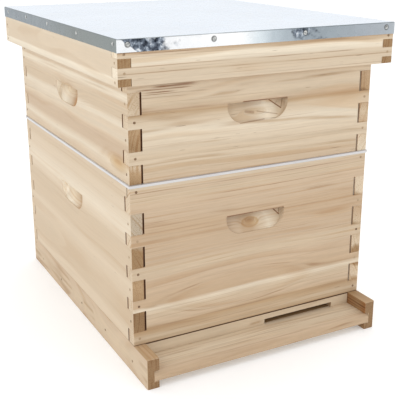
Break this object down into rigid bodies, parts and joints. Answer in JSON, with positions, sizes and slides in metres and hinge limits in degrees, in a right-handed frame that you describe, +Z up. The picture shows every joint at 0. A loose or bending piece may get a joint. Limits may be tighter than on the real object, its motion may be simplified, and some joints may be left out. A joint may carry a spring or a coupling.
{
  "type": "beehive",
  "caption": "Stacked wooden beehive: floor board, deep and shallow box-jointed boxes of hanging frames, an excluder between them, an inner cover and a metal-clad outer cover.",
  "frame": {"origin": "centre of the bounding box in plan, on the surface that the hive stands on", "axes": "+Z up, -Y out of the entrance, +X to the right seen from the entrance side"},
  "size_m": [0.4582, 0.5746, 0.5011],
  "materials": {
    "brood_box_wood": "matte",
    "super_box_wood": "matte",
    "bottom_board_wood": "matte",
    "reducer_wood": "matte",
    "cover_rim_wood": "matte",
    "cover_panel_wood": "matte",
    "inner_cover_wood": "matte",
    "frame_wood": "matte",
    "foundation_wax": "satin",
    "excluder_plastic": "satin",
    "galvanized_sheet": "satin",
    "nail_steel": "satin"
  },
  "bodies": {
    "bottom_board": {"bottom_back_cleat": "bottom_board_wood", "bottom_left_rail": "bottom_board_wood", "bottom_nails": "nail_steel", "bottom_right_rail": "bottom_board_wood", "floor_board_1": "bottom_board_wood", "floor_board_2": "bottom_board_wood", "floor_board_3": "bottom_board_wood", "floor_board_4": "bottom_board_wood"},
    "entrance_reducer": {"entrance_reducer": "reducer_wood"},
    "brood_box": {"brood_front_board": "brood_box_wood", "brood_back_board": "brood_box_wood", "brood_left_board": "brood_box_wood", "brood_right_board": "brood_box_wood", "brood_nails": "nail_steel"},
    "queen_excluder": {"queen_excluder": "excluder_plastic"},
    "honey_super": {"super_front_board": "super_box_wood", "super_back_board": "super_box_wood", "super_left_board": "super_box_wood", "super_right_board": "super_box_wood", "super_nails": "nail_steel"},
    "inner_cover": {"inner_cover_back_rail": "inner_cover_wood", "inner_cover_front_rail": "inner_cover_wood", "inner_cover_left_rail": "inner_cover_wood", "inner_cover_nails": "nail_steel", "inner_cover_panel": "inner_cover_wood", "inner_cover_right_rail": "inner_cover_wood"},
    "outer_cover": {"cover_back_rim": "cover_rim_wood", "cover_front_rim": "cover_rim_wood", "cover_left_rim": "cover_rim_wood", "cover_panel": "cover_panel_wood", "cover_right_rim": "cover_rim_wood", "cover_rim_nails": "nail_steel", "cover_sheet": "galvanized_sheet", "cover_sheet_nails": "nail_steel"},
    "brood_frame_1": {"brood_frame_1": "frame_wood"},
    "brood_frame_2": {"brood_frame_2": "frame_wood"},
    "brood_frame_3": {"brood_frame_3": "frame_wood"},
    "brood_frame_4": {"brood_frame_4": "frame_wood"},
    "brood_frame_5": {"brood_frame_5": "frame_wood"},
    "brood_frame_6": {"brood_frame_6": "frame_wood"},
    "brood_frame_7": {"brood_frame_7": "frame_wood"},
    "brood_frame_8": {"brood_frame_8": "frame_wood"},
    "brood_frame_9": {"brood_frame_9": "frame_wood"},
    "brood_frame_10": {"brood_frame_10": "frame_wood"},
    "super_frame_1": {"super_frame_1": "frame_wood"},
    "super_frame_2": {"super_frame_2": "frame_wood"},
    "super_frame_3": {"super_frame_3": "frame_wood"},
    "super_frame_4": {"super_frame_4": "frame_wood"},
    "super_frame_5": {"super_frame_5": "frame_wood"},
    "super_frame_6": {"super_frame_6": "frame_wood"},
    "super_frame_7": {"super_frame_7": "frame_wood"},
    "super_frame_8": {"super_frame_8": "frame_wood"},
    "super_frame_9": {"super_frame_9": "frame_wood"},
    "super_frame_10": {"super_frame_10": "frame_wood"}
  },
  "joints": [
    {"name": "reducer_slide", "type": "slide", "parent": "bottom_board", "child": "entrance_reducer", "axis": [0, -1, 0], "range_m": [0, 0.028]},
    {"name": "brood_box_lift", "type": "slide", "parent": "bottom_board", "child": "brood_box", "axis": [0, 0, 1], "range_m": [0, 0.25]},
    {"name": "excluder_lift", "type": "slide", "parent": "brood_box", "child": "queen_excluder", "axis": [0, 0, 1], "range_m": [0, 0.4]},
    {"name": "honey_super_lift", "type": "slide", "parent": "queen_excluder", "child": "honey_super", "axis": [0, 0, 1], "range_m": [0, 0.25]},
    {"name": "inner_cover_lift", "type": "slide", "parent": "honey_super", "child": "inner_cover", "axis": [0, 0, 1], "range_m": [0, 0.28]},
    {"name": "outer_cover_lift", "type": "slide", "parent": "inner_cover", "child": "outer_cover", "axis": [0, 0, 1], "range_m": [0, 0.12]},
    {"name": "brood_frame_1_lift", "type": "slide", "parent": "brood_box", "child": "brood_frame_1", "axis": [0, 0, 1], "range_m": [0, 0.24]},
    {"name": "brood_frame_2_lift", "type": "slide", "parent": "brood_box", "child": "brood_frame_2", "axis": [0, 0, 1], "range_m": [0, 0.24]},
    {"name": "brood_frame_3_lift", "type": "slide", "parent": "brood_box", "child": "brood_frame_3", "axis": [0, 0, 1], "range_m": [0, 0.24]},
    {"name": "brood_frame_4_lift", "type": "slide", "parent": "brood_box", "child": "brood_frame_4", "axis": [0, 0, 1], "range_m": [0, 0.24]},
    {"name": "brood_frame_5_lift", "type": "slide", "parent": "brood_box", "child": "brood_frame_5", "axis": [0, 0, 1], "range_m": [0, 0.24]},
    {"name": "brood_frame_6_lift", "type": "slide", "parent": "brood_box", "child": "brood_frame_6", "axis": [0, 0, 1], "range_m": [0, 0.24]},
    {"name": "brood_frame_7_lift", "type": "slide", "parent": "brood_box", "child": "brood_frame_7", "axis": [0, 0, 1], "range_m": [0, 0.24]},
    {"name": "brood_frame_8_lift", "type": "slide", "parent": "brood_box", "child": "brood_frame_8", "axis": [0, 0, 1], "range_m": [0, 0.24]},
    {"name": "brood_frame_9_lift", "type": "slide", "parent": "brood_box", "child": "brood_frame_9", "axis": [0, 0, 1], "range_m": [0, 0.24]},
    {"name": "brood_frame_10_lift", "type": "slide", "parent": "brood_box", "child": "brood_frame_10", "axis": [0, 0, 1], "range_m": [0, 0.24]},
    {"name": "super_frame_1_lift", "type": "slide", "parent": "honey_super", "child": "super_frame_1", "axis": [0, 0, 1], "range_m": [0, 0.168]},
    {"name": "super_frame_2_lift", "type": "slide", "parent": "honey_super", "child": "super_frame_2", "axis": [0, 0, 1], "range_m": [0, 0.168]},
    {"name": "super_frame_3_lift", "type": "slide", "parent": "honey_super", "child": "super_frame_3", "axis": [0, 0, 1], "range_m": [0, 0.168]},
    {"name": "super_frame_4_lift", "type": "slide", "parent": "honey_super", "child": "super_frame_4", "axis": [0, 0, 1], "range_m": [0, 0.168]},
    {"name": "super_frame_5_lift", "type": "slide", "parent": "honey_super", "child": "super_frame_5", "axis": [0, 0, 1], "range_m": [0, 0.168]},
    {"name": "super_frame_6_lift", "type": "slide", "parent": "honey_super", "child": "super_frame_6", "axis": [0, 0, 1], "range_m": [0, 0.168]},
    {"name": "super_frame_7_lift", "type": "slide", "parent": "honey_super", "child": "super_frame_7", "axis": [0, 0, 1], "range_m": [0, 0.168]},
    {"name": "super_frame_8_lift", "type": "slide", "parent": "honey_super", "child": "super_frame_8", "axis": [0, 0, 1], "range_m": [0, 0.168]},
    {"name": "super_frame_9_lift", "type": "slide", "parent": "honey_super", "child": "super_frame_9", "axis": [0, 0, 1], "range_m": [0, 0.168]},
    {"name": "super_frame_10_lift", "type": "slide", "parent": "honey_super", "child": "super_frame_10", "axis": [0, 0, 1], "range_m": [0, 0.168]}
  ],
  "couplings": [
    {"joint": "brood_frame_1_lift", "follows": "excluder_lift", "ratio": 0.6},
    {"joint": "brood_frame_2_lift", "follows": "excluder_lift", "ratio": 0.6},
    {"joint": "brood_frame_3_lift", "follows": "excluder_lift", "ratio": 0.6},
    {"joint": "brood_frame_4_lift", "follows": "excluder_lift", "ratio": 0.6},
    {"joint": "brood_frame_5_lift", "follows": "excluder_lift", "ratio": 0.6},
    {"joint": "brood_frame_6_lift", "follows": "excluder_lift", "ratio": 0.6},
    {"joint": "brood_frame_7_lift", "follows": "excluder_lift", "ratio": 0.6},
    {"joint": "brood_frame_8_lift", "follows": "excluder_lift", "ratio": 0.6},
    {"joint": "brood_frame_9_lift", "follows": "excluder_lift", "ratio": 0.6},
    {"joint": "brood_frame_10_lift", "follows": "excluder_lift", "ratio": 0.6},
    {"joint": "super_frame_1_lift", "follows": "inner_cover_lift", "ratio": 0.6},
    {"joint": "super_frame_2_lift", "follows": "inner_cover_lift", "ratio": 0.6},
    {"joint": "super_frame_3_lift", "follows": "inner_cover_lift", "ratio": 0.6},
    {"joint": "super_frame_4_lift", "follows": "inner_cover_lift", "ratio": 0.6},
    {"joint": "super_frame_5_lift", "follows": "inner_cover_lift", "ratio": 0.6},
    {"joint": "super_frame_6_lift", "follows": "inner_cover_lift", "ratio": 0.6},
    {"joint": "super_frame_7_lift", "follows": "inner_cover_lift", "ratio": 0.6},
    {"joint": "super_frame_8_lift", "follows": "inner_cover_lift", "ratio": 0.6},
    {"joint": "super_frame_9_lift", "follows": "inner_cover_lift", "ratio": 0.6},
    {"joint": "super_frame_10_lift", "follows": "inner_cover_lift", "ratio": 0.6}
  ]
}
